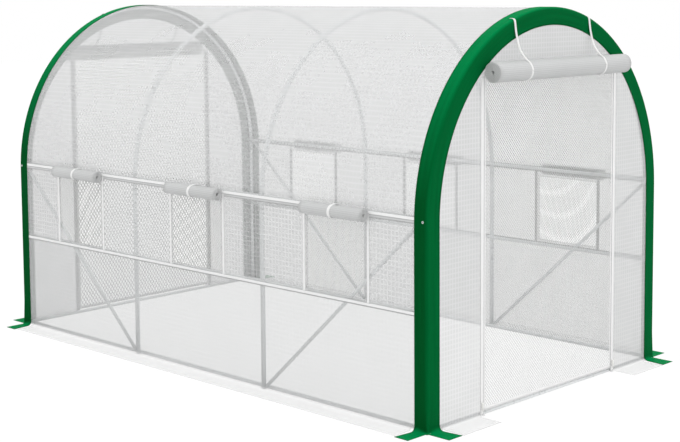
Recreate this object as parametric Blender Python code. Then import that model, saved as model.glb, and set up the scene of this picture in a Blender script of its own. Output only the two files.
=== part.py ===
"""Walk-in tunnel greenhouse: steel hoops and rails under a cloth cover, with roll-up doors and windows.

Metres, +Z up. X runs along the tunnel, with the front door at +X. Y runs across it, and the left side is -Y.
The origin is on the ground, at the centre of the footprint.
Layers go from the outside in: trim, cover, hoops, rails, braces, each with a gap of GAP to the next.
"""

import math
from collections import namedtuple

import bmesh
import bpy
from mathutils import Matrix, Vector

Roll = namedtuple("Roll", "length radius pitch cloth turns steps")

# Overall sizes
TUNNEL_LENGTH = 3.37  # over the end faces of the trims
WIDTH = 1.96  # over the side faces of the trims
HEIGHT = 2.00  # top of the trims
SHOULDER = 0.992  # height where the straight legs begin to bend
ARCH_STEPS = 18  # facets round the arch, from seam to seam
GAP = 0.0003  # clearance between pieces that touch on the real object
NEAR = 1e-5  # two places closer than this are the same
FLAT = math.radians(0.5)  # faces that meet at less than this are one

# Frame
HOOP_TUBE = 0.025  # outside diameter
RAIL_TUBE = 0.019
TUBE_WALL = 0.001
TUBE_STEPS = 2  # bevel steps, which give 8 sides round each tube
INNER_HOOP = 0.535  # distance of each inner hoop from the middle
LEG_JOINT = 0.036  # from the shoulder down to the joint between a leg and its arch
NECK_LENGTH = 0.030  # swaged end of a leg, inside the arch
NECK_STEP = 0.003  # length over which the swage narrows
UPPER_RAIL = 1.020  # heights of the rail axes
LOWER_RAIL = 0.566
BRACE_FOOT = 0.016  # height of a brace's lower end

# Cover and trim
SHEET = 0.0015  # thickness of the cover's cloth
SEAM_ABOVE_RAIL = 0.026  # from the upper rail's axis to the seam between wall and roof
SEAM_GAP = 0.0006  # between the outer edges there, as the roof's inner edge lies lower
TRIM = 0.002  # thickness of the green trim
TRIM_SIDE = 0.08  # width of the trim along X
TRIM_END = 0.092  # width of the trim on the end face
TRIM_CORNER = 0.008  # radius of the trim's outer edge
FLAP_OUT = 0.13  # reach of the trim's ground flaps
FLAP_BEND = 0.025  # radius where a flap leaves the upright
FLAP_SPREAD = 0.015  # how much wider a flap is at its outer end
BEND_STEPS = 4
SIDE_SKIRT = 0.12  # reach of the skirt along the walls
END_SKIRT = 0.137  # reach of the skirts beside the doorways
SKIRT_GAP = 0.004  # between a skirt and a flap or a zip band

# Doors
DOORWAY_WIDTH = 1.10
DOORWAY_BELOW_TRIM = 0.020  # from the trim's inner edge down to the doorway's top corners
DOOR_SWING_GAP = 0.0012  # above the mesh door, for its turn about its top edge
DOOR_FOOT_GAP = 0.004  # between the mesh door and the sill under it
ZIP_BAND = 0.026  # width of the zip band beside the doorway
ZIP_EDGE = 0.003  # from the doorway's edge to the zip band
ZIP_PROUD = 0.0012  # how far a zip band stands out of the cover
ZIP_FOOT = 0.003  # height where a zip band begins
ZIP_BELOW_TRIM = 0.015
DOOR_ROLL = Roll(length=1.12, radius=0.048, pitch=0.0058, cloth=0.0032, turns=7, steps=12)
DOOR_ROLL_SHIFT = -0.010  # from the middle of the doorway to the roll's, as it is rolled up unevenly
DOOR_ROLL_OUT = 0.062  # from the trim's end face to the roll's axis
TIE_WIDTH = 0.013
TIE_THICKNESS = 0.002
TIE_POSITIONS = (-0.317, 0.317)
TIE_HEM = 0.012  # length of a tie that lies flat on the trim
TIE_STEPS = 6
SLIDER_WIDTH = 0.013
SLIDER_HEIGHT = 0.024
SLIDER_DEPTH = 0.008
SLIDER_CHAMFER = 0.0015
SLIDER_REST = 0.055  # height of the slider when the zip is shut
PULL_LENGTH = 0.030
PULL_WIDTH = 0.007
PULL_THICKNESS = 0.0016

# Windows
WINDOW_WIDTH = 0.426
WINDOW_SHIFT = 0.022  # from the middle of a bay to its window's, towards the front
WINDOW_ABOVE_RAIL = 0.015  # from the lower rail's axis up to the opening
WINDOW_BELOW_RAIL = 0.041  # from the upper rail's axis down to the opening
FASTENER_WIDTH = 0.018  # hook-and-loop strip beside a window
FASTENER_PROUD = 0.0012
WINDOW_ROLL = Roll(length=0.422, radius=0.030, pitch=0.0055, cloth=0.0030, turns=4, steps=10)
WINDOW_ROLL_SHIFT = 0.010  # from the middle of a window to its roll's
ROLL_BELOW_RAIL = 0.011  # from the upper rail's axis down to the roll's
WINDOW_ROLL_OUT = 0.034  # from the trim's side face to the roll's axis
STRAP_WIDTH = 0.016
STRAP_THICKNESS = 0.0015
ROLL_START = math.radians(150)  # where a roll's outer end lies: behind it, near the top

# Netting: the real net's diamonds, drawn larger, in a hem
NET = 0.0012  # thickness
STRAND = 0.008
DOOR_HEM = 0.018
WINDOW_HEM = 0.012
DOOR_NET_COUNT = (4, 6)  # diamonds across and down
WINDOW_NET_COUNT = (2, 2)

# Places that follow from the sizes
COVER_INSET = TRIM + GAP  # from the trim's face to the cover's outer face
HOOP_INSET = COVER_INSET + SHEET + GAP + HOOP_TUBE / 2
RAIL_INSET = HOOP_INSET + HOOP_TUBE / 2 + GAP + RAIL_TUBE / 2
BRACE_INSET = RAIL_INSET - RAIL_TUBE - GAP  # against the outside of the rails
BRACE_END = HOOP_TUBE / 2 + 0.0067  # from a hoop's axis to the end of a brace's axis
EDGE_INSET = TRIM_CORNER + GAP  # where a sheet ends inside the trim's rounded edge
END_COVER = TUNNEL_LENGTH / 2 - COVER_INSET  # outer face of an end panel
COVER_END = TUNNEL_LENGTH / 2 - EDGE_INSET  # end of the roof and the walls
RAIL_END = END_COVER - SHEET - GAP
END_HOOP = TUNNEL_LENGTH / 2 - HOOP_INSET
LEG_TOP = SHOULDER - LEG_JOINT
SEAM = UPPER_RAIL + SEAM_ABOVE_RAIL
ZIP_Y = DOORWAY_WIDTH / 2 + ZIP_EDGE + ZIP_BAND / 2
WINDOW_X = (INNER_HOOP + TUNNEL_LENGTH / 2 - TRIM_SIDE) / 2  # middle of an end bay
WINDOW_BOTTOM = LOWER_RAIL + WINDOW_ABOVE_RAIL
WINDOW_TOP = UPPER_RAIL - WINDOW_BELOW_RAIL
WINDOW_ROLL_HEIGHT = UPPER_RAIL - ROLL_BELOW_RAIL

ENDS = {"front": 1, "rear": -1}
SIDES = {"left": -1, "right": 1}
WINDOWS = {"front": WINDOW_SHIFT + WINDOW_X, "middle": WINDOW_SHIFT, "rear": WINDOW_SHIFT - WINDOW_X}


def linear(hex_colour):
    """An sRGB colour such as 00692f, as the linear values that Blender takes."""
    levels = [int(hex_colour[i : i + 2], 16) / 255 for i in (0, 2, 4)]
    return [c / 12.92 if c <= 0.04045 else ((c + 0.055) / 1.055) ** 2.4 for c in levels]


def material(name, hex_colour, roughness, metallic=0.0, alpha=1.0):
    made = bpy.data.materials.new(name)
    made.use_nodes = True
    shader = made.node_tree.nodes["Principled BSDF"]
    shader.inputs["Base Color"].default_value = (*linear(hex_colour), 1.0)
    shader.inputs["Roughness"].default_value = roughness
    shader.inputs["Metallic"].default_value = metallic
    shader.inputs["Alpha"].default_value = alpha
    return made


def add_object(name, data, finish, origin=(0, 0, 0), hidden=False):
    """Links an object made in world coordinates, and moves its origin to where it turns or slides."""
    data.transform(Matrix.Translation(-Vector(origin)))
    made = bpy.data.objects.new(name, data)
    made.location = origin
    made.hide_render = hidden
    if hidden:
        made.display_type = "WIRE"
    if finish:
        data.materials.append(finish)
    bpy.context.scene.collection.objects.link(made)
    return made


def from_bmesh(name, bm, finish, origin=(0, 0, 0), mirror=(1, 1), smooth=False, hidden=False):
    """Turns a bmesh into an object. mirror puts it at the other end or side, with its faces still outward."""
    sx, sy = mirror
    bmesh.ops.scale(bm, vec=(sx, sy, 1), verts=bm.verts)
    if sx * sy < 0:
        bmesh.ops.reverse_faces(bm, faces=bm.faces)
    mesh = bpy.data.meshes.new(name)
    bm.to_mesh(mesh)
    bm.free()
    if smooth:
        mesh.shade_smooth()
        mesh.set_sharp_from_angle(angle=math.radians(40))
    return add_object(name, mesh, finish, origin, hidden)


def thicken(obj, thickness, offset=-1.0):
    """Gives an open surface its thickness. An offset of -1 keeps the surface as the outer face."""
    wall = obj.modifiers.new("thickness", "SOLIDIFY")
    wall.thickness = thickness
    wall.offset = offset
    wall.use_even_offset = True
    wall.use_quality_normals = True
    return obj


def combine(obj, other):
    """Joins another solid to an object, as one."""
    step = obj.modifiers.new(other.name, "BOOLEAN")
    step.operation = "UNION"
    step.object = other


def outline(inset):
    """Points (y, z) of the tunnel's outline over the arch, from the left shoulder to the right one."""
    rise, half = HEIGHT - SHOULDER, WIDTH / 2
    first = math.asin((SEAM - SHOULDER) / rise)
    span = math.pi - 2 * first
    angles = [math.pi - first - span * i / ARCH_STEPS for i in range(ARCH_STEPS + 1)]
    points = []
    for angle in [math.pi, *angles, 0.0]:
        across, up = math.cos(angle), math.sin(angle)
        normal = Vector((across / half, up / rise)).normalized()
        point = Vector((half * across, SHOULDER + rise * up)) - inset * normal
        points.append((point.x, point.y))
    return points


def wall_y(height, inset):
    """How far from the middle the outline is at this height, up to the roof's seam."""
    shoulder, seam = outline(inset)[:2]
    share = max(0.0, (height - shoulder[1]) / (seam[1] - shoulder[1]))
    return -(shoulder[0] + share * (seam[0] - shoulder[0]))


def arch_z(y, inset):
    """Height of the outline's arch at this distance from the middle."""
    ring = outline(inset)
    for (y0, z0), (y1, z1) in zip(ring, ring[1:]):
        if y0 <= y <= y1:
            return z0 + (z1 - z0) * (y - y0) / (y1 - y0)
    raise ValueError(f"the arch doesn't reach {y} m from the middle")


DOORWAY_TOP = arch_z(DOORWAY_WIDTH / 2, TRIM_END) - DOORWAY_BELOW_TRIM
ZIP_TOP = arch_z(ZIP_Y + ZIP_BAND / 2, TRIM_END) - ZIP_BELOW_TRIM


def tube(name, points, diameter, radii=None):
    """A steel tube with open ends, along a line of points."""
    curve = bpy.data.curves.new(name, "CURVE")
    curve.dimensions = "3D"
    curve.bevel_depth = diameter / 2
    curve.bevel_resolution = TUBE_STEPS
    line = curve.splines.new("POLY")
    line.points.add(len(points) - 1)
    for i, point in enumerate(points):
        line.points[i].co = (*point, 1.0)
        line.points[i].radius = radii[i] if radii else 1.0
    return thicken(add_object(name, curve, STEEL), TUBE_WALL)


def loft(rows, skip=()):
    """A surface of quads through rows of points. skip lists the cells (row, column) that stay open."""
    bm = bmesh.new()
    grid = [[bm.verts.new(point) for point in row] for row in rows]
    for i in range(len(rows) - 1):
        for j in range(len(rows[i]) - 1):
            if (i, j) not in skip:
                bm.faces.new((grid[i][j], grid[i + 1][j], grid[i + 1][j + 1], grid[i][j + 1]))
    return bm, grid


def pull_out(bm, edges, step):
    """Extrudes edges by a step and returns the new vertices."""
    made = bmesh.ops.extrude_edge_only(bm, edges=edges)["geom"]
    new = [item for item in made if isinstance(item, bmesh.types.BMVert)]
    bmesh.ops.translate(bm, vec=step, verts=new)
    return new


def box(low, high, chamfer=0.0):
    """A box between two corners."""
    bm = bmesh.new()
    bmesh.ops.create_cube(bm, size=1)
    low, high = Vector(low), Vector(high)
    bmesh.ops.scale(bm, vec=high - low, verts=bm.verts)
    bmesh.ops.translate(bm, vec=(low + high) / 2, verts=bm.verts)
    if chamfer:
        bmesh.ops.bevel(
            bm, geom=bm.edges, offset=chamfer, segments=1, profile=0.5, affect="EDGES", material=-1
        )
    return bm


def stack(rings):
    """A solid through rings of points, one after the other, with an end face on the first and the last."""
    bm = bmesh.new()
    grid = [[bm.verts.new(point) for point in ring] for ring in rings]
    for lower, upper in zip(grid, grid[1:]):
        for i in range(len(lower)):
            bm.faces.new((lower[i - 1], lower[i], upper[i], upper[i - 1]))
    bm.faces.new(grid[0])
    bm.faces.new(grid[-1])
    bmesh.ops.remove_doubles(bm, verts=bm.verts, dist=NEAR)
    bmesh.ops.dissolve_limit(bm, angle_limit=FLAT, verts=bm.verts, edges=bm.edges)
    bmesh.ops.recalc_face_normals(bm, faces=bm.faces)
    return bm


def net(count, width, height, hem):
    """A net of diamonds in a hem, as a flat surface in XZ from the origin to (width, height)."""
    across, down = (2 * diamonds for diamonds in count)
    step_x, step_z = (width - 2 * hem) / across, (height - 2 * hem) / down
    bm = bmesh.new()
    for i in range(across + 1):
        for j in range(i % 2, down + 1, 2):
            ring = [(i - 1, j), (i, j - 1), (i + 1, j), (i, j + 1)]
            ring = [(p, q) for p, q in ring if 0 <= p <= across and 0 <= q <= down]
            if len(ring) == 2:
                ring.append((i, j))
            bm.faces.new([bm.verts.new((hem + p * step_x, 0, hem + q * step_z)) for p, q in ring])
    bmesh.ops.remove_doubles(bm, verts=bm.verts, dist=NEAR)
    bmesh.ops.recalc_face_normals(bm, faces=bm.faces)
    holes = list(bm.faces)
    bmesh.ops.inset_individual(bm, faces=holes, thickness=STRAND / 2, use_even_offset=True)
    rim = [edge for edge in bm.edges if edge.is_boundary]
    bmesh.ops.delete(bm, geom=holes, context="FACES_ONLY")
    for vert in pull_out(bm, rim, (0, 0, 0)):
        for axis, size in ((0, width), (2, height)):
            if abs(vert.co[axis] - hem) < NEAR:
                vert.co[axis] = 0
            elif abs(vert.co[axis] - size + hem) < NEAR:
                vert.co[axis] = size
    bmesh.ops.recalc_face_normals(bm, faces=bm.faces)
    return bm


def spiral(roll, strap=0.0):
    """The end outline (out, up) of cloth wound inwards, whose outer turn is raised by a strap's thickness."""
    outer, inner = [], []
    for i in range(roll.turns * roll.steps + 1):
        angle = ROLL_START - math.tau * i / roll.steps
        reach = roll.radius - roll.pitch * i / roll.steps
        face = reach + strap if i < roll.steps else reach
        outer.append((face * math.cos(angle), face * math.sin(angle)))
        inner.append(((reach - roll.cloth) * math.cos(angle), (reach - roll.cloth) * math.sin(angle)))
    return outer + inner[::-1]


def print_least_gap(name, roll):
    """Prints the least gap between a roll's turns, measured on its points."""
    ring = spiral(roll)
    outer, inner = ring[: len(ring) // 2], ring[len(ring) // 2 :][::-1]
    half_turn = roll.steps // 2
    gaps = [math.dist(a, b) for i, a in enumerate(inner) for b in outer[i + half_turn :]]
    print(f"{name}: least gap between turns {min(gaps) * 1000:.2f} mm")


def make_roll(name, roll, straps, place, origin, mirror):
    """A rolled flap, a spiral of cloth that is open in the middle, with straps round it.

    straps lists (place along the roll, width, thickness). place turns (along, out, up) into a world point.
    """
    stations = [(-roll.length / 2, 0.0)]
    for middle, width, thickness in straps:
        low, high = middle - width / 2, middle + width / 2
        stations += [(low, 0.0), (low, thickness), (high, thickness), (high, 0.0)]
    stations.append((roll.length / 2, 0.0))
    rings = [[place(along, out, up) for out, up in spiral(roll, strap)] for along, strap in stations]
    from_bmesh(name, stack(rings), ROLLED, origin, mirror, True)


def make_hoop(name, x):
    """Two straight legs with swaged necks, and the arch that they plug into."""
    inner_flat = HOOP_TUBE / 2 * math.cos(math.pi / (2 * TUBE_STEPS + 4)) - TUBE_WALL
    neck = (inner_flat - GAP) / (HOOP_TUBE / 2)
    y = wall_y(0, HOOP_INSET)
    for side, sy in SIDES.items():
        heights = (0, LEG_TOP - NECK_STEP, LEG_TOP, LEG_TOP + NECK_LENGTH)
        tube(f"{name}_{side}_leg", [(x, sy * y, z) for z in heights], HOOP_TUBE, (1, 1, neck, neck))
    foot = LEG_TOP + GAP
    tube(f"{name}_arch", [(x, y, z) for y, z in [(-y, foot), *outline(HOOP_INSET), (y, foot)]], HOOP_TUBE)


def make_rails():
    """Base, lower and upper rails along each side, inside the hoops."""
    heights = {"base": RAIL_TUBE / 2, "lower": LOWER_RAIL, "upper": UPPER_RAIL}
    for side, sy in SIDES.items():
        for level, z in heights.items():
            y = sy * wall_y(z, RAIL_INSET)
            tube(f"{side}_{level}_rail", [(-RAIL_END, y, z), (RAIL_END, y, z)], RAIL_TUBE)


def make_braces():
    """A diagonal between the hoops of each end bay, from the upper rail down to the foot of the inner hoop."""
    for side, sy in SIDES.items():
        for end, sx in ENDS.items():
            y = sy * wall_y(0, BRACE_INSET)
            low = (sx * (INNER_HOOP + BRACE_END), y, BRACE_FOOT)
            high = (sx * (END_HOOP - BRACE_END), y, UPPER_RAIL)
            tube(f"{side}_{end}_brace", [low, high], RAIL_TUBE)


def make_sill(end, sx):
    """The rail on the ground across an end, between the two base rails."""
    reach = wall_y(0, RAIL_INSET) - RAIL_TUBE / 2 - GAP
    x, z = sx * END_HOOP, RAIL_TUBE / 2
    tube(f"{end}_sill", [(x, -reach, z), (x, reach, z)], RAIL_TUBE)


def make_roof():
    """The cover over the arch, from seam to seam."""
    path = outline(COVER_INSET)[1:-1]
    bm, _ = loft([[(x, y, z) for y, z in path] for x in (-COVER_END, COVER_END)])
    thicken(from_bmesh("roof_cover", bm, COVER, smooth=True), SHEET)


def make_wall(side, sy):
    """A long wall with its window openings, fastener strips, strap roots and ground skirt."""
    skirt_end = TUNNEL_LENGTH / 2 - TRIM_SIDE - FLAP_SPREAD - SKIRT_GAP
    half = WINDOW_WIDTH / 2
    edges = {x + s * half for x in WINDOWS.values() for s in (-1, 1)}
    stops = sorted(edges | {-COVER_END, COVER_END, -skirt_end, skirt_end})
    top = outline(COVER_INSET)[1][1] - SEAM_GAP
    levels = sorted({SHEET, WINDOW_BOTTOM, SHOULDER, WINDOW_TOP, top})
    middles = [(a + b) / 2 for a, b in zip(stops, stops[1:])]
    columns = [i for i, x in enumerate(middles) if any(abs(x - c) < half for c in WINDOWS.values())]
    heights = [j for j, z in enumerate(levels[:-1]) if WINDOW_BOTTOM <= z < WINDOW_TOP]
    rows = [[(x, -wall_y(z, COVER_INSET), z) for z in levels] for x in stops]
    bm, grid = loft(rows, {(i, j) for i in columns for j in heights})
    feet = [(a[0], b[0]) for a, b, x in zip(grid, grid[1:], middles) if abs(x) < skirt_end]
    pull_out(bm, [bm.edges.get(pair) for pair in feet], (0, -SIDE_SKIRT, 0))
    wall = thicken(from_bmesh(f"{side}_wall_cover", bm, COVER, mirror=(1, -sy)), SHEET)
    for window, centre in WINDOWS.items():
        for edge in (-1, 1):
            combine(wall, make_fastener(f"{side}_{window}_strip_{edge}", centre, edge, -sy))
        combine(wall, make_strap_root(f"{side}_{window}_strap_root", centre, -sy))


def make_fastener(name, centre, edge, flip):
    """The hook-and-loop strip beside a window, from rail to rail, as a helper."""
    inner = centre + edge * WINDOW_WIDTH / 2
    stops = sorted((inner, inner + edge * FASTENER_WIDTH))
    levels = sorted({LOWER_RAIL, SHOULDER, UPPER_RAIL})
    inset = COVER_INSET - FASTENER_PROUD
    bm, _ = loft([[(x, -wall_y(z, inset), z) for z in levels] for x in stops])
    return thicken(from_bmesh(name, bm, None, mirror=(1, flip), hidden=True), FASTENER_PROUD + SHEET / 2)


def make_strap_root(name, centre, flip):
    """The fixed end of a window's strap, a tongue from the wall to over the roll, as a helper."""
    z = WINDOW_ROLL_HEIGHT + GAP + max(up for _, up in spiral(WINDOW_ROLL, STRAP_THICKNESS))
    low = (centre - STRAP_WIDTH / 2, -WIDTH / 2 - WINDOW_ROLL_OUT, z)
    high = (centre + STRAP_WIDTH / 2, -wall_y(z, COVER_INSET) + SHEET / 2, z + STRAP_THICKNESS)
    return from_bmesh(name, box(low, high), None, mirror=(1, flip), hidden=True)


def make_window(name, sy, centre):
    """The net in a window opening, and the rolled flap over it with its strap."""
    width = WINDOW_WIDTH - 2 * GAP
    bm = net(WINDOW_NET_COUNT, width, WINDOW_TOP - WINDOW_BOTTOM - 2 * GAP, WINDOW_HEM)
    bmesh.ops.translate(bm, vec=(centre - width / 2, 0, WINDOW_BOTTOM + GAP), verts=bm.verts)
    everything = [*bm.verts, *bm.edges, *bm.faces]
    bmesh.ops.bisect_plane(bm, geom=everything, plane_co=(0, 0, SHOULDER), plane_no=(0, 0, 1))
    for vert in bm.verts:
        vert.co.y = -wall_y(vert.co.z, COVER_INSET + SHEET / 2)
    thicken(from_bmesh(f"{name}_net", bm, NETTING, mirror=(1, -sy)), NET, offset=0.0)
    face = WIDTH / 2 + WINDOW_ROLL_OUT

    def place(along, out, up):
        return Vector((centre + WINDOW_ROLL_SHIFT + along, -face - out, WINDOW_ROLL_HEIGHT + up))

    straps = [(-WINDOW_ROLL_SHIFT, STRAP_WIDTH, STRAP_THICKNESS)]
    origin = (centre + WINDOW_ROLL_SHIFT, sy * face, WINDOW_ROLL_HEIGHT)
    make_roll(f"{name}_roll", WINDOW_ROLL, straps, place, origin, (1, -sy))


def make_end_panel(end, sx):
    """An end panel with its doorway, zip bands and ground skirts."""
    skirt_in = ZIP_Y + ZIP_BAND / 2 + SKIRT_GAP
    skirt_out = WIDTH / 2 - TRIM_END - FLAP_SPREAD - SKIRT_GAP
    arch = outline(EDGE_INSET)
    ring = [(y, SHEET) for y in (arch[0][0], -skirt_out, -skirt_in, -DOORWAY_WIDTH / 2)]
    ring.append((-DOORWAY_WIDTH / 2, DOORWAY_TOP))
    ring += [(-y, z) for y, z in ring[::-1]] + arch[::-1]
    bm = bmesh.new()
    corners = [bm.verts.new((END_COVER, y, z)) for y, z in ring]
    bm.faces.new(corners)
    feet = [bm.edges.get((corners[i], corners[i + 1])) for i in (1, 7)]
    pull_out(bm, feet, (END_SKIRT, 0, 0))
    panel = thicken(from_bmesh(f"{end}_end_cover", bm, COVER, mirror=(sx, 1)), SHEET)
    for side, sy in SIDES.items():
        low = (END_COVER - SHEET / 2, ZIP_Y - ZIP_BAND / 2, ZIP_FOOT)
        high = (END_COVER + ZIP_PROUD, ZIP_Y + ZIP_BAND / 2, ZIP_TOP)
        band = from_bmesh(f"{end}_{side}_zip", box(low, high), None, mirror=(sx, sy), hidden=True)
        combine(panel, band)


def make_trim(end, sx):
    """The green trim round an end: a side band and an end band, with two flaps on the ground at each foot."""
    half = TUNNEL_LENGTH / 2
    soft = TRIM_CORNER * (1 - math.sqrt(0.5))
    # Each column of the trim has its place along X, its inset, and the way that its foot turns out.
    columns = [
        (half - TRIM_SIDE, 0.0, (0, 1)),
        (half - TRIM_CORNER, 0.0, (0, 1)),
        (half - soft, soft, (1, 1)),
        (half, TRIM_CORNER, (1, 0)),
        (half, TRIM_END, (1, 0)),
    ]
    rows = []
    for x, inset, (out_x, out_y) in columns:
        arch = outline(inset)
        y = arch[0][0]
        foot = []
        for i in range(BEND_STEPS, -1, -1):
            turn = math.pi / 2 * i / BEND_STEPS
            out, z = FLAP_BEND * (1 - math.cos(turn)), TRIM + FLAP_BEND * (1 - math.sin(turn))
            foot.append((x + out_x * out, y - out_y * out, z))
        rows.append(foot + [(x, y, z) for y, z in arch] + [(p, -q, z) for p, q, z in foot[::-1]])
    bm, grid = loft(rows)
    reach = FLAP_OUT - FLAP_BEND
    for foot, sy in ((0, -1), (-1, 1)):
        side_edge = bm.edges.get((grid[0][foot], grid[1][foot]))
        end_edge = bm.edges.get((grid[3][foot], grid[4][foot]))
        side_flap = pull_out(bm, [side_edge], (0, sy * reach, 0))
        end_flap = pull_out(bm, [end_edge], (reach, 0, 0))
        min(side_flap, key=lambda vert: vert.co.x).co.x -= FLAP_SPREAD
        min(end_flap, key=lambda vert: sy * vert.co.y).co.y -= sy * FLAP_SPREAD
    thicken(from_bmesh(f"{end}_trim", bm, GREEN, mirror=(sx, 1), smooth=True), TRIM)


def make_mesh_door(end, sx):
    """The zipped net in a doorway. Its origin is on its top edge, where it is sewn on and swings inwards."""
    width = DOORWAY_WIDTH - 2 * GAP
    bottom, top = RAIL_TUBE + DOOR_FOOT_GAP, DOORWAY_TOP - DOOR_SWING_GAP
    bm = net(DOOR_NET_COUNT, width, top - bottom, DOOR_HEM)
    bmesh.ops.rotate(bm, cent=(0, 0, 0), matrix=Matrix.Rotation(math.pi / 2, 3, "Z"), verts=bm.verts)
    x = END_COVER - SHEET / 2
    bmesh.ops.translate(bm, vec=(x, -width / 2, bottom), verts=bm.verts)
    origin = (sx * x, 0, top - NET / 2)
    thicken(from_bmesh(f"{end}_mesh_door", bm, NETTING, origin, (sx, 1)), NET, offset=0.0)


def make_door_roll(end, sx):
    """The rolled outer flap over a doorway, with the part of each tie that goes round it."""
    x = TUNNEL_LENGTH / 2 + DOOR_ROLL_OUT

    def place(along, out, up):
        return Vector((x + out, DOOR_ROLL_SHIFT + along, DOORWAY_TOP + up))

    straps = [(y - DOOR_ROLL_SHIFT, TIE_WIDTH, TIE_THICKNESS) for y in TIE_POSITIONS]
    origin = (sx * x, DOOR_ROLL_SHIFT, DOORWAY_TOP)
    make_roll(f"{end}_door_roll", DOOR_ROLL, straps, place, origin, (sx, 1))


def make_ties(end, sx):
    """The fixed upper part of each tie, from the top of the trim down over the front of the roll."""
    centre = Vector((TUNNEL_LENGTH / 2 + DOOR_ROLL_OUT, DOORWAY_TOP))
    face = [math.hypot(out, up) for out, up in spiral(DOOR_ROLL, TIE_THICKNESS) if out > 0 and up > 0]
    reach = max(face) + GAP
    for side, y in zip(SIDES, TIE_POSITIONS):
        start = Vector((TUNNEL_LENGTH / 2 + GAP, arch_z(y, TRIM_CORNER)))
        lower = start - Vector((0, TIE_HEM))
        away = lower - centre
        touch = math.atan2(away.y, away.x) - math.acos(reach / away.length)
        wrap = [touch * (1 - i / TIE_STEPS) for i in range(TIE_STEPS + 1)]
        path = [start, lower] + [centre + reach * Vector((math.cos(a), math.sin(a))) for a in wrap]
        bm, _ = loft([[(p.x, y + s * TIE_WIDTH / 2, p.y) for p in path] for s in (1, -1)])
        thicken(from_bmesh(f"{end}_{side}_tie", bm, WEBBING, mirror=(sx, 1)), TIE_THICKNESS, offset=1.0)


def make_slider(end, sx, side, sy):
    """A zip slider with its pull, at the foot of the zip band."""
    name = f"{end}_{side}_zip_slider"
    face = END_COVER + ZIP_PROUD + GAP
    front = face + SLIDER_DEPTH
    low = (face, ZIP_Y - SLIDER_WIDTH / 2, SLIDER_REST - SLIDER_HEIGHT / 2)
    high = (front, ZIP_Y + SLIDER_WIDTH / 2, SLIDER_REST + SLIDER_HEIGHT / 2)
    origin = (sx * face, sy * ZIP_Y, SLIDER_REST)
    slider = from_bmesh(name, box(low, high, SLIDER_CHAMFER), NYLON, origin, (sx, sy))
    low = (front - 2 * PULL_THICKNESS, ZIP_Y - PULL_WIDTH / 2, SLIDER_REST - PULL_LENGTH)
    high = (front - PULL_THICKNESS, ZIP_Y + PULL_WIDTH / 2, SLIDER_REST)
    combine(slider, from_bmesh(name + "_pull", box(low, high), None, mirror=(sx, sy), hidden=True))


def main():
    make_rails()
    make_braces()
    make_roof()
    for name, x in (("hoop_2", INNER_HOOP), ("hoop_3", -INNER_HOOP)):
        make_hoop(name, x)
    for side, sy in SIDES.items():
        make_wall(side, sy)
        for window, centre in WINDOWS.items():
            make_window(f"{side}_{window}_window", sy, centre)
    for (end, sx), hoop in zip(ENDS.items(), ("hoop_1", "hoop_4")):
        make_hoop(hoop, sx * END_HOOP)
        make_sill(end, sx)
        make_end_panel(end, sx)
        make_trim(end, sx)
        make_mesh_door(end, sx)
        make_door_roll(end, sx)
        make_ties(end, sx)
        for side, sy in SIDES.items():
            make_slider(end, sx, side, sy)
    print_least_gap("door roll", DOOR_ROLL)
    print_least_gap("window roll", WINDOW_ROLL)


for old in list(bpy.data.objects):
    bpy.data.objects.remove(old)
STEEL = material("powder_coated_steel_tube", "d4d7d9", 0.42, metallic=0.2)
COVER = material("translucent_pe_cover", "e6e8e8", 0.55, alpha=0.55)
ROLLED = material("rolled_pe_cloth", "cfcfcf", 0.6)
GREEN = material("green_pe_trim", "00692f", 0.6)
NETTING = material("white_netting", "e2e3e3", 0.7, alpha=0.7)
WEBBING = material("white_webbing", "f2f2f2", 0.8)
NYLON = material("white_nylon", "ececec", 0.35)
main()
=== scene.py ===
"""Looks of the walk-in tunnel greenhouse: round steel tubes, cloth sheets, nets, rolled flaps and ties.

Metres, +Z up. X runs along the tunnel with the front door at +X, and the left side is -Y.
Each sheet is cut flat and then put in place point by point, so its flat coordinates are its UV map.
"""

import bisect
import math

import bmesh
import bpy
from mathutils import Matrix, Vector, noise


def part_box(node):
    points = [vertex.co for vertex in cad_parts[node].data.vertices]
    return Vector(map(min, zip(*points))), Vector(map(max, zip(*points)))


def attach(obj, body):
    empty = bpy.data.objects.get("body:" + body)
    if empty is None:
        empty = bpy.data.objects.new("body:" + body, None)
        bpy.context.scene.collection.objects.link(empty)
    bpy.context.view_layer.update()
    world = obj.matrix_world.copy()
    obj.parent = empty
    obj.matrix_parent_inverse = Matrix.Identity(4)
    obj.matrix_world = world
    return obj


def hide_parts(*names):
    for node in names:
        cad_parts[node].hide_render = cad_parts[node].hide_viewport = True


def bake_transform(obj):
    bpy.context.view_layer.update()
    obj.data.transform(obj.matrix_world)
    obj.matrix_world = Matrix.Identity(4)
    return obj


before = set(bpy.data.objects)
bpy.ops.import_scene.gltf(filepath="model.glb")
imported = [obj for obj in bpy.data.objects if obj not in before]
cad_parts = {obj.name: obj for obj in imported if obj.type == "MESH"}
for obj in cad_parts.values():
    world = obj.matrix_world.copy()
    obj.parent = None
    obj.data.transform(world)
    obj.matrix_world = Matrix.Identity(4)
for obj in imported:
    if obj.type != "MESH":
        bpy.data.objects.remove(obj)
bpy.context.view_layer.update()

# Outline of the tunnel, over the faces of the green trims
FLAP_OUT = 0.13  # reach of the trim's ground flaps
HALF_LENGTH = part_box("front_trim")[1].x - FLAP_OUT
HALF_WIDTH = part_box("front_trim")[1].y - FLAP_OUT
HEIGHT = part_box("front_trim")[1].z
SHOULDER = 0.992  # height where the straight legs begin to bend
ARCH_STEPS = 72
GAP = 0.0003  # clearance between pieces that touch on the real object

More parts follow.
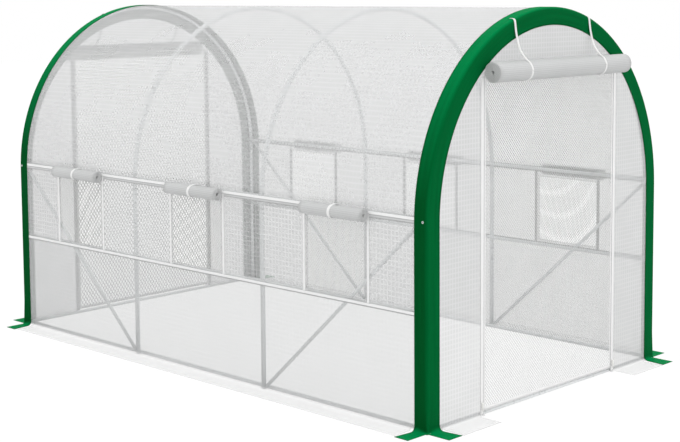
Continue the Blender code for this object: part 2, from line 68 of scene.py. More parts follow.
# Frame
HOOP_TUBE = 0.025  # outside diameter
RAIL_TUBE = 0.019
TUBE_WALL = 0.001
TUBE_ROUND = 6  # bevel resolution, 16 sides
INNER_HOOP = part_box("hoop_2_left_leg")[0].x + HOOP_TUBE / 2
LEG_JOINT = 0.036  # from the shoulder down to the joint of leg and arch
NECK_LENGTH = 0.030  # the part of a leg that is inside the arch
NECK_STEP = 0.003
UPPER_RAIL = 1.020
LOWER_RAIL = 0.566
BRACE_FOOT = 0.016  # height of the low end of a brace's axis

# Cover and trim
SHEET = 0.0015  # room that the frame leaves for the cover
FILM = 0.0008  # thickness of the cover's cloth as it is shown
SEAM = 1.046  # height of the seam between wall and roof
TRIM = 0.002
TRIM_SIDE = 0.08  # width of the trim on the walls and the roof
TRIM_END = 0.092  # and on the end
TRIM_CORNER = 0.018  # radius of the trim's outer edge, which pulls in to FOOT_CORNER at the ground
FOOT_CORNER = 0.006
CORNER_HEIGHT = 0.12  # height up to which it pulls in
FLAP_BEND = 0.025
FLAP_SPREAD = 0.015  # how much wider a ground flap gets towards its end
EYELET_X = HALF_LENGTH - 0.026
EYELET_HEIGHT = 1.010
SKIRT_BEND = 0.010
SIDE_SKIRT = 0.12  # reach of a wall's skirt
END_SKIRT = 0.137
SKIRT_GAP = 0.004  # from a skirt's corner to the trim's flap
SAG = 0.0015  # how far the cover hangs in between two hoops
RIPPLE = 0.0010
RIPPLE_SIZE = 0.16  # distance from one ripple to the next
SLACK_RISE = 0.25  # height over which a wall's slack grows from nothing at the ground
END_SLACK_RISE = 0.3
FLAP_EASE = 0.045  # width over which a ground flap's bend eases from that of the corner
EYELET_RING = ((0.0062, 0.0002), (0.0052, 0.0012), (0.0036, 0.0012), (0.0026, 0.0002))  # radius, how far out
HAIR = 0.0001  # keeps a layer off the face behind it
RAIL_TAPE_THICK = 0.0008
RAIL_TAPE_ABOVE = 0.009  # from the rail's axis up to the tape's edge
RAIL_TAPE_BELOW = {"upper": 0.022, "lower": 0.010}

# Doors
DOORWAY_WIDTH = 1.10
DOOR_SWING_GAP = 0.0012  # above the mesh door, for its turn about its top edge
DOORWAY_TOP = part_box("front_mesh_door")[1].z + DOOR_SWING_GAP
ZIP_BAND = 0.026
ZIP_EDGE = 0.003  # from the doorway to the band beside it
ZIP_PROUD = 0.0012
ZIP_TOP = 1.66864
ZIP_FOOT = 0.001  # height of a band's lower end
ZIP_BEVEL = 0.002  # width over which a band's edge comes up
COIL_HALF = 0.004  # half of the coil's width
COIL_PROUD = 0.0006  # how far the coil stands out of its band
DOOR_ROLL_OUT = 0.062  # from the end of the tunnel to the roll's axis
DOOR_ROLL_HEIGHT = (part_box("front_door_roll")[0].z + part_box("front_door_roll")[1].z) / 2
# A roll's seam is the line that its flap hangs on, this high over the roll's axis and this wide. The flap
# stands clear of the cover by this much there: of the zip sliders at a door, and inside the trim's arch.
DOOR_ROLL = dict(
    length=1.12, radius=0.048, pitch=0.0044, turns=9, steps=32, seam=0.048, seam_width=1.0, clear=0.014
)
DOOR_ROLL_SHIFT = -0.010  # from the middle of the doorway to the roll's, as it is rolled up unevenly
TIE_WIDTH = 0.014
TIE_THICKNESS = 0.0022
TIE_HEM = 0.028  # length of a tie that lies on top of the trim
TIE_CLEAR = 0.0008  # from the roll to the inside of a tie
TIE_POSITIONS = {"left": -0.317, "right": 0.317}

# Windows
WINDOW_WIDTH = 0.426
WINDOW_SHIFT = 0.022  # from the middle of a bay to its window's, towards the front
WINDOW_BOTTOM = LOWER_RAIL + 0.015
WINDOW_TOP = UPPER_RAIL - 0.041
STRIP_WIDTH = 0.018
STRIP_SHIFT = {"front": -0.008, "middle": -0.002, "rear": 0.0}  # as the strips are sewn on unevenly
STRIP_PROUD = 0.0012
STRIP_END = 0.0075  # from a rail's axis to the end of a strip
WINDOW_ROLL_OUT = 0.034
WINDOW_ROLL_HEIGHT = UPPER_RAIL - 0.011
WINDOW_ROLL = dict(
    length=0.422, radius=0.030, pitch=0.0046, turns=5, steps=28, seam=0.028, seam_width=0.385, clear=0.008
)
WINDOW_ROLL_SHIFT = 0.010  # from the middle of a window to its roll's
STRAP_WIDTH = 0.017
STRAP_PROUD = 0.0022  # how far the strap stands off the roll
STRAP_THICKNESS = 0.0014
ROLL_START = math.radians(150)  # where a roll's outer end lies: behind it, near the top
LAYER_GAP = 0.001  # between two layers of a roll
FLAP_PROUD = 0.0006  # how far a flap's face stands out of the cover where it is sewn on
FLAP_DROP = 0.0015  # how much lower it is where it stands clear of the cover

# Netting
MESH = (0.016, 0.0185, 0.0028)  # a net's diamonds, across and up, and the width of a strand
REAR_MESH = (0.024, 0.036, 0.0064)  # drawn larger, as it shows so far off
STRAND_THICK = 0.0003
LAYER_STEP = 1.2 * STRAND_THICK  # from one layer of strands to the other
HEM = 0.010
HEM_CORNER = 0.014  # radius of a window's inner corners

# Places that follow from the sizes
COVER_INSET = TRIM + GAP
HOOP_INSET = COVER_INSET + SHEET + GAP + HOOP_TUBE / 2
RAIL_INSET = HOOP_INSET + HOOP_TUBE / 2 + GAP + RAIL_TUBE / 2
BRACE_INSET = RAIL_INSET - RAIL_TUBE - GAP  # against the outside of the rails
BRACE_END = HOOP_TUBE / 2 + 0.0067  # from a hoop's axis to the end of a brace's axis
END_COVER = HALF_LENGTH - COVER_INSET
EDGE_INSET = TRIM_CORNER + GAP  # where a sheet ends inside the trim's rounded edge
COVER_END = HALF_LENGTH - EDGE_INSET
RAIL_END = END_COVER - SHEET - GAP
END_HOOP = HALF_LENGTH - HOOP_INSET
LEG_TOP = SHOULDER - LEG_JOINT
ZIP_Y = DOORWAY_WIDTH / 2 + ZIP_EDGE + ZIP_BAND / 2
WINDOW_X = (INNER_HOOP + HALF_LENGTH - TRIM_SIDE) / 2
HOOPS = (-END_HOOP, -INNER_HOOP, INNER_HOOP, END_HOOP)

ENDS = {"front": 1, "rear": -1}
SIDES = {"left": -1, "right": 1}
TRIM_BENT = math.pi / 2 * TRIM_CORNER  # width of the trim that goes round its edge
TRIM_FLAT = TRIM_SIDE + TRIM_END - 2 * TRIM_CORNER + TRIM_BENT
WINDOWS = {"front": WINDOW_SHIFT + WINDOW_X, "middle": WINDOW_SHIFT, "rear": WINDOW_SHIFT - WINDOW_X}


# Materials

# A Mix node goes from the colour of input 6 to that of input 7 by input 0, or gives their product.
# A noise's scale is 1 over the size of its patches in metres, and other lengths are in metres too.
MIX = {"data_type": "RGBA"}
TIMES = {**MIX, "blend_type": "MULTIPLY", 0: 1.0}


def colour(hex_value):
    """An sRGB hex colour as linear RGBA."""
    levels = [int(hex_value[i : i + 2], 16) / 255 for i in (0, 2, 4)]
    return (*(c / 12.92 if c <= 0.04045 else ((c + 0.055) / 1.055) ** 2.4 for c in levels), 1.0)


def output(source):
    """A socket as it is, or of a node the first output that is in use."""
    if isinstance(source, bpy.types.Node):
        return next(socket for socket in source.outputs if socket.enabled)
    return source


def add(tree, kind, settings=None, links=None):
    """Adds a shader node. Settings are its properties or the values of its inputs, with colours in hex.

    Links go into its inputs, from sockets or nodes.
    """
    made = tree.nodes.new("ShaderNode" + kind)
    for key, value in (settings or {}).items():
        if isinstance(key, int) or key in made.inputs:
            made.inputs[key].default_value = colour(value) if isinstance(value, str) else value
        else:
            setattr(made, key, value)
    for key, source in (links or {}).items():
        tree.links.new(output(source), made.inputs[key])
    return made


def start_material(name, settings):
    """A new material and its tree, with the plain values of its Principled BSDF."""
    made = bpy.data.materials.new(name)
    made.use_nodes = True
    for key, value in settings.items():
        made.node_tree.nodes["Principled BSDF"].inputs[key].default_value = value
    return made, made.node_tree


def finish_material(made, base, height, depth):
    """Gives a material its colour, and its relief from a height whose 1 stands for this depth."""
    tree = made.node_tree
    shader = tree.nodes["Principled BSDF"]
    relief = add(tree, "Bump", {"Distance": depth}, {"Height": height})
    tree.links.new(output(base), shader.inputs["Base Color"])
    tree.links.new(output(relief), shader.inputs["Normal"])
    return made


def flat_places(tree):
    """A cloth's flat UV map, and the coordinates across and along the cloth."""
    flat = add(tree, "UVMap", {"uv_map": "flat"})
    split = add(tree, "SeparateXYZ", links={0: flat})
    return flat, split.outputs[0], split.outputs[1]


def threads(tree, place, spacing, share):
    """Thin lines across a coordinate, one at each spacing: 1 on the line and 0 beside it."""
    wave = add(tree, "Math", {"operation": "PINGPONG", 1: spacing / 2}, {0: place})
    span = {"From Min": spacing / 2 * (1 - share), "From Max": spacing / 2}
    return add(tree, "MapRange", {"interpolation_type": "SMOOTHSTEP", **span}, {"Value": wave})


def laid_grid(name, warp, weft, film, thread, settings, pale=0.0, plain=0.0):
    """PE film over a laid grid of threads. The film is milky, and the threads show as paler, raised lines.

    warp and weft are (spacing, weight), across and along the sheet. The real grid has a thread every 3 mm or
    so. Each line here stands for several threads, so that it shows in the render. pale and plain are flat
    heights: up to pale the sheet is painted paler, as painted light of the bright ground that it lies on, and
    up to plain its grid shows less.
    """
    made, tree = start_material(name, settings)
    flat, *ways = flat_places(tree)
    lines = {}
    for i, (spacing, weight) in enumerate((warp, weft)):
        line = threads(tree, ways[i], spacing, 0.5)
        lines[i] = add(tree, "Math", {"operation": "MULTIPLY", 1: weight}, {0: line})
    grid = add(tree, "Math", {"operation": "MAXIMUM"}, lines)
    if plain:
        span = {"From Min": plain, "From Max": plain + 0.02, "To Min": 0.6}
        shown = add(tree, "MapRange", span, {"Value": ways[1]})
        grid = add(tree, "Math", {"operation": "MULTIPLY"}, {0: grid, 1: shown})
    patches = add(tree, "TexNoise", {"Scale": 1 / 0.22, "Detail": 3.0}, {"Vector": flat})
    haze = add(tree, "Mix", {**MIX, 6: "f2f2f2", 7: "ffffff"}, {0: patches})
    milky = add(tree, "Mix", {**MIX, 6: film, 7: thread}, {0: grid})
    milky = add(tree, "Mix", TIMES, {6: milky, 7: haze})
    # Painted light: up to pale the film's colour is painted paler, for the bright floor under the skirt.
    if pale:
        upper = add(tree, "MapRange", {"From Min": pale - 0.01, "From Max": pale + 0.01}, {"Value": ways[1]})
        milky = add(tree, "Mix", {**MIX, 6: "f3f3f3"}, {0: upper, 7: milky})
    return finish_material(made, milky, grid, 0.0001)


def make_cover(name, alpha, film, warp, weft, pale=0.0, plain=0.0):
    """The cover: clear PE film with a laid grid, milky and a little glossy.

    It lets nearly half of the light through. Each sheet has two faces, each about two thirds clear.
    """
    settings = {"Roughness": 0.42, "IOR": 1.5, "Specular IOR Level": 0.35, "Alpha": alpha}
    return laid_grid(name, warp, weft, film, "fafafa", settings, pale, plain)


def make_rolled():
    """The same film in a roll, where many layers lie over each other and nothing shows through."""
    settings = {"Roughness": 0.45, "IOR": 1.5}
    return laid_grid("rolled_film", (0.009, 1.0), (0.009, 1.0), "bcbdbd", "cfd0d0", settings)


def make_tape(name, axis=0, painted_shade_lines=()):
    """Welded white PE tape, nearly opaque, with a fine rib.

    The grey lines along a tape are painted shade, given as (place, half of the width, shade) on the flat axis
    across it.
    """
    made, tree = start_material(name, {"Roughness": 0.5, "IOR": 1.5})
    flat, *ways = flat_places(tree)
    rib = threads(tree, ways[0], 0.004, 0.5)
    ribbed = add(tree, "Mix", {**MIX, 6: "f1f1f1", 7: "f9f9f9"}, {0: rib})
    patches = add(tree, "TexNoise", {"Scale": 1 / 0.12, "Detail": 3.0}, {"Vector": flat})
    fade = add(tree, "Mix", {**MIX, 6: "f3f3f3", 7: "ffffff"}, {0: patches})
    base = add(tree, "Mix", TIMES, {6: ribbed, 7: fade})
    # Each grey line is painted shade.
    for place, half, shade in painted_shade_lines:
        line = add(tree, "Math", {"operation": "COMPARE", 1: place, 2: half}, {0: ways[axis]})
        painted_shade_line = add(tree, "Mix", {**MIX, 6: "ffffff", 7: shade}, {0: line})
        base = add(tree, "Mix", TIMES, {6: base, 7: painted_shade_line})
    return finish_material(made, base, rib, 0.0002)


def make_green():
    """The trim: cloth woven from flat green PE strips.

    The strips are 2 mm wide on the real cloth and are drawn 4 mm wide, so that the weave still shows. Light
    is
    painted in: the green is painted lighter where it faces up, and less on the ends. A line of stitches runs
    along each edge.
    """
    made, tree = start_material("woven_green_pe", {"Roughness": 0.6, "IOR": 1.5, "Specular IOR Level": 0.01})
    flat, across, along = flat_places(tree)
    strip_width = 0.004
    checks = {"Scale": 1 / strip_width, "Color1": "000000", "Color2": "ffffff"}
    over = add(tree, "TexChecker", checks, {"Vector": flat}).outputs["Fac"]
    warp, weft = (threads(tree, way, strip_width, 0.9) for way in (across, along))
    weave = add(tree, "Mix", {"data_type": "FLOAT"}, {0: over, 2: warp, 3: weft})
    # Painted light: a lighter green on faces that point up, and a little of it on faces that point along the
    # tunnel.
    normal = add(tree, "NewGeometry").outputs["Normal"]
    facing = add(tree, "SeparateXYZ", links={0: normal}).outputs
    upwards = add(tree, "MapRange", {"From Min": 0.1, "From Max": 0.95}, {"Value": facing[2]})
    outwards = add(tree, "Math", {"operation": "ABSOLUTE"}, {0: facing[0]})
    outwards = add(tree, "Math", {"operation": "MULTIPLY", 1: 0.27}, {0: outwards})
    painted_top_light = add(tree, "Math", {"operation": "MAXIMUM"}, {0: upwards, 1: outwards})
    side_green = add(tree, "Mix", {**MIX, 6: "005021", 7: "005927"}, {0: weave})
    painted_lit_green = add(tree, "Mix", {**MIX, 6: "008848", 7: "009a57"}, {0: weave})
    cloth = add(tree, "Mix", MIX, {0: painted_top_light, 6: side_green, 7: painted_lit_green})
    streaks = add(tree, "Mapping", {"Scale": (60.0, 2.5, 1.0)}, {"Vector": flat})
    folds = add(tree, "TexNoise", {"Scale": 1.0, "Detail": 3.0}, {"Vector": streaks})
    shade = add(tree, "Mix", {**MIX, 6: "d2d2d2", 7: "ffffff"}, {0: folds})
    edge = add(tree, "Math", {"operation": "PINGPONG", 1: TRIM_FLAT / 2}, {0: across})
    stitched = add(tree, "Math", {"operation": "COMPARE", 1: 0.006, 2: 0.0008}, {0: edge})
    seam = add(tree, "Mix", {**MIX, 6: "ffffff", 7: "c4c4c4"}, {0: stitched})
    surface_colour = add(tree, "Mix", TIMES, {6: cloth, 7: shade})
    surface_colour = add(tree, "Mix", TIMES, {6: surface_colour, 7: seam})
    raised = add(tree, "Math", {"operation": "SUBTRACT"}, {0: weave, 1: stitched})
    height = add(tree, "Math", {"operation": "MULTIPLY_ADD", 1: 5.0}, {0: folds, 2: raised})
    return finish_material(made, surface_colour, height, 0.0003)


def make_netting():
    """Knitted white PE thread, dull, painted grey as painted shade, and a little darker where dust has
    settled on it.
    """
    made, tree = start_material("knitted_pe_thread", {"Roughness": 0.6, "IOR": 1.5})
    where = add(tree, "TexCoord").outputs["Object"]
    patches = add(tree, "TexNoise", {"Scale": 1 / 0.15, "Detail": 3.0}, {"Vector": where})
    # The thread's grey is painted shade. The patches are dust.
    dust_and_painted_shade = add(tree, "Mix", {**MIX, 6: "bebfbe", 7: "d6d7d6"}, {0: patches})
    knit = add(tree, "TexNoise", {"Scale": 1 / 0.004}, {"Vector": where})
    return finish_material(made, dust_and_painted_shade, knit, 0.0003)


def make_webbing():
    """White polypropylene tape, woven with a fine cross rib."""
    made, tree = start_material("white_pp_webbing", {"Roughness": 0.75, "IOR": 1.5, "Sheen Weight": 0.2})
    _, _, along = flat_places(tree)
    rib = threads(tree, along, 0.003, 0.8)
    ribbed = add(tree, "Mix", {**MIX, 6: "e8e8e7", 7: "f8f8f8"}, {0: rib})
    return finish_material(made, ribbed, rib, 0.0004)


def make_steel():
    """Steel tube under a pale powder coat: smooth, with a faint orange peel and thin grey scuffs."""
    made, tree = start_material("powder_coated_steel", {"Roughness": 0.36, "IOR": 1.5, "Coat Weight": 0.15})
    where = add(tree, "TexCoord").outputs["Object"]
    specks = add(tree, "TexNoise", {"Scale": 1 / 0.035, "Detail": 6.0}, {"Vector": where})
    scuffs = add(tree, "MapRange", {"From Min": 0.62, "From Max": 0.72}, {"Value": specks})
    scuffed = add(tree, "Mix", {**MIX, 6: "eef0f1", 7: "d0d2d4"}, {0: scuffs})
    patches = add(tree, "TexNoise", {"Scale": 1 / 0.3}, {"Vector": where})
    fade = add(tree, "Mix", {**MIX, 6: "f4f4f4", 7: "ffffff"}, {0: patches})
    surface_colour = add(tree, "Mix", TIMES, {6: scuffed, 7: fade})
    peel = add(tree, "TexNoise", {"Scale": 1 / 0.002}, {"Vector": where})
    return finish_material(made, surface_colour, peel, 0.00004)


def make_nylon():
    """Moulded white nylon, glossy, with a fine moulded grain."""
    made, tree = start_material("moulded_nylon", {"Roughness": 0.3, "IOR": 1.53})
    where = add(tree, "TexCoord").outputs["Object"]
    patches = add(tree, "TexNoise", {"Scale": 1 / 0.01}, {"Vector": where})
    white = add(tree, "Mix", {**MIX, 6: "e2e2df", 7: "f1f1ee"}, {0: patches})
    grain = add(tree, "TexNoise", {"Scale": 1 / 0.0008}, {"Vector": where})
    return finish_material(made, white, grain, 0.00005)


WALL_SKIRT_FLAT = SIDE_SKIRT - (1 - math.pi / 2) * SKIRT_BEND  # flat height of the ground
# The film's three copies differ in colour as painted light: the roof's film is painted lightest, the walls'
# darkest, and the ends' in between.
COVER = make_cover(
    "laid_grid_film", 0.30, "d4d5d5", (0.0245, 0.6), (0.0245, 0.6), pale=WALL_SKIRT_FLAT,
    plain=WALL_SKIRT_FLAT + LOWER_RAIL,
)
ROOF = make_cover("laid_grid_roof_film", 0.31, "e2e3e3", (0.0245, 0.15), (0.0285, 0.36))
END = make_cover("laid_grid_end_film", 0.37, "dcdddd", (0.021, 0.45), (0.0245, 0.35), pale=0.012)
ROLLED = make_rolled()
BAND = make_tape("welded_pe_tape")
# The rail tape's grey lines below the rail's axis are painted shade: the rail's shaded underside and the
# shadow under it.
RAIL_TAPE = make_tape(
    "welded_rail_tape", 1,
    ((-0.0075, 0.0025, "bebfbf"), (-0.0140, 0.0040, "dedfdf"), (-0.0198, 0.0018, "bebfbf")),
)
# The window strip's grey line along its front edge is a painted shadow.
STRIP_TAPE = make_tape("window_strip_tape", 0, ((0.0078, 0.0010, "bebfbf"),))
# The zip tape's grey lines along both edges are painted shade where the band's edges curve down.
ZIP_TAPE = make_tape("zip_tape", 0, ((-0.0118, 0.0012, "bebfbf"), (0.0118, 0.0012, "bebfbf")))
GREEN = make_green()
NETTING = make_netting()
WEBBING = make_webbing()
STEEL = make_steel()
NYLON = make_nylon()


# Lines and places

class Line:
    """A line of points in a plane, read by the length along it."""

    def __init__(self, points):
        self.points = [Vector(p) for p in points]
        steps = [(b - a) for a, b in zip(self.points, self.points[1:])]
        self.reach = [0.0]
        for step in steps:
            self.reach.append(self.reach[-1] + step.length)
        sides = [Vector((-step.y, step.x)).normalized() for step in steps]
        inner = [(a + b).normalized() for a, b in zip(sides, sides[1:])]
        self.normals = [sides[0], *inner, sides[-1]]
        self.length = self.reach[-1]

    def at(self, length):
        """The point at this length, and the unit vector to the left of the line there."""
        i = min(max(bisect.bisect(self.reach, length) - 1, 0), len(self.points) - 2)
        share = (length - self.reach[i]) / (self.reach[i + 1] - self.reach[i])
        point = self.points[i].lerp(self.points[i + 1], share)
        return point, self.normals[i].lerp(self.normals[i + 1], share).normalized()

    def up_to(self, height):
        """The length at which the line first rises to a height."""
        for i, (a, b) in enumerate(zip(self.points, self.points[1:])):
            if a.y <= height <= b.y and b.y > a.y:
                return self.reach[i] + (height - a.y) / (b.y - a.y) * (self.reach[i + 1] - self.reach[i])
        raise ValueError(f"the line doesn't rise to {height}")


def arc(centre, radius, first, last, steps):
    """Points of an arc from one angle to another, in radians."""
    angles = [first + (last - first) * i / steps for i in range(steps + 1)]
    return [(centre[0] + radius * math.cos(a), centre[1] + radius * math.sin(a)) for a in angles]


def arch(inset):
    """Points (across, up) of the outline from the left shoulder over the arch to the right one."""
    rise = HEIGHT - SHOULDER
    points = []
    for i in range(ARCH_STEPS + 1):
        angle = math.pi * (1 - i / ARCH_STEPS)
        across, up = math.cos(angle), math.sin(angle)
        out = Vector((across / HALF_WIDTH, up / rise)).normalized()
        points.append((HALF_WIDTH * across - inset * out.x, SHOULDER + rise * up - inset * out.y))
    return points


def turned_out(across, reach, radius, floor):
    """A line's foot at -across: from the end of a skirt on the ground, round the bend, to the upright."""
    return [(-across - reach, floor)] + arc((-across - radius, floor + radius), radius, -math.pi / 2, 0, 8)


def wall_y(height, inset):
    """How far from the middle the outline is at this height."""
    line = Line([(-HALF_WIDTH + inset, 0.0)] + arch(inset))
    return -line.at(line.up_to(height))[0].x


def arch_z(y, inset):
    """Height of the arch at this distance from the middle."""
    points = arch(inset)
    for (y0, z0), (y1, z1) in zip(points, points[1:]):
        if y0 <= y <= y1:
            return z0 + (z1 - z0) * (y - y0) / (y1 - y0)
    raise ValueError(f"the arch doesn't reach {y}")


def hang(x):
    """How much of its slack the cover shows at x: none on a hoop, and all of it midway between two."""
    for a, b in zip(HOOPS, HOOPS[1:]):
        if a < x < b:
            share = (x - a) / (b - a)
            return 4 * share * (1 - share)
    return 0.0


def slack(x, along, height):
    """How far the cover lies inside its outline at x, and at a length along the outline."""
    share = hang(x) * min(1.0, max(0.0, height / SLACK_RISE))
    wave = noise.noise(Vector((x / RIPPLE_SIZE, along / RIPPLE_SIZE, 0.5)))
    fold = noise.noise(Vector((x / RIPPLE_SIZE / 4, along * 9 / RIPPLE_SIZE / 4, 7.5)))
    return share * (SAG + RIPPLE * (wave + 0.5 * fold))


def smooth_line(points, steps=8):
    """A smooth curve through points, as a longer list of points."""
    points = [Vector(p) for p in points]
    ends = [2 * points[0] - points[1], *points, 2 * points[-1] - points[-2]]
    made = [points[0]]
    for a, b, c, d in zip(ends, ends[1:], ends[2:], ends[3:]):
        for i in range(1, steps + 1):
            t = i / steps
            square, cube = (2 * a - 5 * b + 4 * c - d) * t**2, (3 * b - a - 3 * c + d) * t**3
            made.append(0.5 * ((2 * b) + (c - a) * t + square + cube))
    return made


# Making pieces

def to_mesh(name, bm, smooth=True):
    """The mesh of a bmesh, which it frees."""
    mesh = bpy.data.meshes.new(name)
    bm.to_mesh(mesh)
    bm.free()
    if smooth:
        mesh.shade_smooth()
    return mesh


def add_piece(name, shape, finish, thickness=0.0, body="frame", slot=None, replaces=(), smooth=True):
    """Links a piece made in world coordinates, from a mesh or a bmesh. It rides on a body if one is named.

    An open surface gets its thickness inwards from its outer face.
    """
    data = shape if isinstance(shape, bpy.types.Mesh) else to_mesh(name, shape, smooth)
    made = bpy.data.objects.new(name, data)
    data.materials.append(finish)
    bpy.context.scene.collection.objects.link(made)
    if body:
        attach(made, body)
    if replaces:
        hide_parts(*replaces)
    if thickness:
        wall = made.modifiers.new("thickness", "SOLIDIFY")
        wall.thickness = thickness
        wall.offset = -1.0
        wall.use_even_offset = True
    return made


def cut(bm, point, normal, clear=False):
    """Cuts a sheet along a plane. With clear, what lies beyond the plane is taken off."""
    everything = [*bm.verts, *bm.edges, *bm.faces]
    bmesh.ops.bisect_plane(bm, geom=everything, dist=1e-6, plane_co=point, plane_no=normal, clear_outer=clear)


def flat_cut(low, high, cell, cuts=(), keep=None):
    """A flat sheet as a bmesh grid, with cells of about this size, or a pair of sizes.

    cuts are (axis, place), and keep(u, v) tells which faces stay.
    """
    (u0, v0), (u1, v1) = low, high
    bm = bmesh.new()
    cells = cell if isinstance(cell, tuple) else (cell, cell)
    across, up = (max(1, round(size / step)) for size, step in zip((u1 - u0, v1 - v0), cells))
    bmesh.ops.create_grid(bm, x_segments=across, y_segments=up, size=0.5)
    bmesh.ops.scale(bm, vec=(u1 - u0, v1 - v0, 1), verts=bm.verts)
    bmesh.ops.translate(bm, vec=((u0 + u1) / 2, (v0 + v1) / 2, 0), verts=bm.verts)
    for axis, place in cuts:
        way = Vector((1 - axis, axis, 0))
        cut(bm, place * way, way)
    if keep:
        gone = [face for face in bm.faces if not keep(*face.calc_center_median()[:2])]
        bmesh.ops.delete(bm, geom=gone, context="FACES")
    return bm


def rounded_frame(low, high, width, radius):
    """A flat rectangular frame whose inner corners are rounded."""
    reach = width + radius
    around = []
    for turn, (su, sv) in enumerate(((1, 1), (-1, 1), (-1, -1), (1, -1))):
        corner = Vector((high[0] if su > 0 else low[0], high[1] if sv > 0 else low[1]))
        centre = corner - reach * Vector((su, sv))
        for i in range(9):
            angle = math.pi / 2 * (turn + i / 8)
            way = Vector((math.cos(angle), math.sin(angle)))
            around.append((centre + radius * way, centre + reach / max(abs(way.x), abs(way.y)) * way))
    full = []
    for (inner, outer), (inner_next, outer_next) in zip(around, around[1:] + around[:1]):
        steps = max(1, round((inner_next - inner).length / 0.03))
        full += [(inner.lerp(inner_next, i / steps), outer.lerp(outer_next, i / steps)) for i in range(steps)]
    bm = bmesh.new()
    pairs = [[bm.verts.new((*point, 0)) for point in pair] for pair in full]
    for (a, b), (c, d) in zip(pairs, pairs[1:] + pairs[:1]):
        bm.faces.new((a, b, d, c))
    return bm


def put(bm, place, mirror=(1, 1), layered=False):
    """Writes the flat coordinates as a UV map and moves each point to its place. Returns the sheet's area.

    Of a layered sheet, place gets each point's layer too, which is its flat z.
    """
    layer = bm.loops.layers.uv.new("flat")
    for face in bm.faces:
        for loop in face.loops:
            loop[layer].uv = loop.vert.co.xy
    for vert in bm.verts:
        vert.co = place(*(vert.co if layered else vert.co.xy))
    sx, sy = mirror
    bmesh.ops.scale(bm, vec=(sx, sy, 1), verts=bm.verts)
    if sx * sy < 0:
        bmesh.ops.reverse_faces(bm, faces=bm.faces)
    return sum(face.calc_area() for face in bm.faces)


def strip(name, low, high, place, mirror, finish, cell, thickness, **ride):
    """A band that is a plain rectangle when flat."""
    bm = flat_cut(low, high, cell)
    put(bm, place, mirror)
    add_piece(name, bm, finish, thickness, **ride)


def webbing(name, line, width, place, mirror, cell, thickness, **ride):
    """A band of webbing along a line in a plane. place(across, out, up) gives a world point."""
    strip(
        name, (-width / 2, 0.0), (width / 2, line.length),
        lambda across, along: place(across, *line.at(along)[0]), mirror, WEBBING, cell, thickness,
        slot="webbing", **ride,
    )


# Frame

def mesh_of(curve):
    """The mesh of a curve with its bevel, shaded smooth."""
    helper = bpy.data.objects.new("helper", curve)
    bpy.context.scene.collection.objects.link(helper)
    graph = bpy.context.evaluated_depsgraph_get()
    mesh = bpy.data.meshes.new_from_object(helper.evaluated_get(graph))
    bpy.data.objects.remove(helper)
    mesh.shade_smooth()
    return mesh


def tube(name, points, diameter, radii=None):
    """A steel tube with open ends along a line of points, which stands for the frame's node of that name."""
    curve = bpy.data.curves.new(name, "CURVE")
    curve.dimensions = "3D"
    curve.bevel_depth = diameter / 2
    curve.bevel_resolution = TUBE_ROUND
    line = curve.splines.new("POLY")
    line.points.add(len(points) - 1)
    for i, point in enumerate(points):
        line.points[i].co = (*point, 1.0)
        line.points[i].radius = radii[i] if radii else 1.0
    add_piece(name + "_tube", mesh_of(curve), STEEL, TUBE_WALL, slot="steel", replaces=(name,))


def make_hoop(name, x):
    """Two legs with swaged necks and the arch that they plug into."""
    neck = (HOOP_TUBE / 2 - TUBE_WALL - GAP) / (HOOP_TUBE / 2)
    y = HALF_WIDTH - HOOP_INSET
    for side, sy in SIDES.items():
        heights = (0, LEG_TOP - NECK_STEP, LEG_TOP, LEG_TOP + NECK_LENGTH)
        tube(f"{name}_{side}_leg", [(x, sy * y, z) for z in heights], HOOP_TUBE, (1, 1, neck, neck))
    foot = LEG_TOP + GAP
    tube(f"{name}_arch", [(x, p, q) for p, q in [(-y, foot), *arch(HOOP_INSET), (y, foot)]], HOOP_TUBE)


def make_rails():
    """The long rails, the braces and the sills across the ends."""
    heights = {"base": RAIL_TUBE / 2, "lower": LOWER_RAIL, "upper": UPPER_RAIL}
    for side, sy in SIDES.items():
        for level, z in heights.items():
            y = sy * wall_y(z, RAIL_INSET)
            tube(f"{side}_{level}_rail", [(-RAIL_END, y, z), (RAIL_END, y, z)], RAIL_TUBE)
        for end, sx in ENDS.items():
            y = sy * wall_y(0, BRACE_INSET)
            low = (sx * (INNER_HOOP + BRACE_END), y, BRACE_FOOT)
            high = (sx * (END_HOOP - BRACE_END), y, UPPER_RAIL)
            tube(f"{side}_{end}_brace", [low, high], RAIL_TUBE)
    reach = HALF_WIDTH - RAIL_INSET - RAIL_TUBE / 2 - GAP
    for end, sx in ENDS.items():
        x, z = sx * END_HOOP, RAIL_TUBE / 2
        tube(f"{end}_sill", [(x, -reach, z), (x, reach, z)], RAIL_TUBE)


# Cover

WALL_LINE = Line(turned_out(HALF_WIDTH - COVER_INSET, SIDE_SKIRT, SKIRT_BEND, FILM) + arch(COVER_INSET))
SKIRT = WALL_LINE.up_to(SKIRT_BEND + FILM)  # flat length of a wall's skirt, with its bend
SEAM_PLACE = WALL_LINE.up_to(SEAM)


def on_wall(x, along, depth=0.0):
    """A point of the left side's cover, or this deep behind its face."""
    point, normal = WALL_LINE.at(along)
    inside = depth + slack(x, along, point.y)
    return Vector((x, point.x - inside * normal.x, point.y - inside * normal.y))


def make_roof():
    """One sheet over the arch, from seam to seam."""
    line = Line([(-HALF_WIDTH + COVER_INSET, 0.0)] + arch(COVER_INSET) + [(HALF_WIDTH - COVER_INSET, 0.0)])
    low = line.up_to(SEAM)
    high = line.length - low

    def place(x, along):
        point, normal = line.at(along)
        nearer = min(along, line.length - along)
        inside = slack(x, nearer - SKIRT_BEND + SKIRT, point.y)
        return Vector((x, point.x - inside * normal.x, point.y - inside * normal.y))

    bm = flat_cut((-COVER_END, low), (COVER_END, high), cell=0.03, cuts=[(0, x) for x in HOOPS])
    put(bm, place)
    roof = add_piece("roof_sheet", bm, ROOF, FILM, slot="cover", replaces=("roof_cover",))


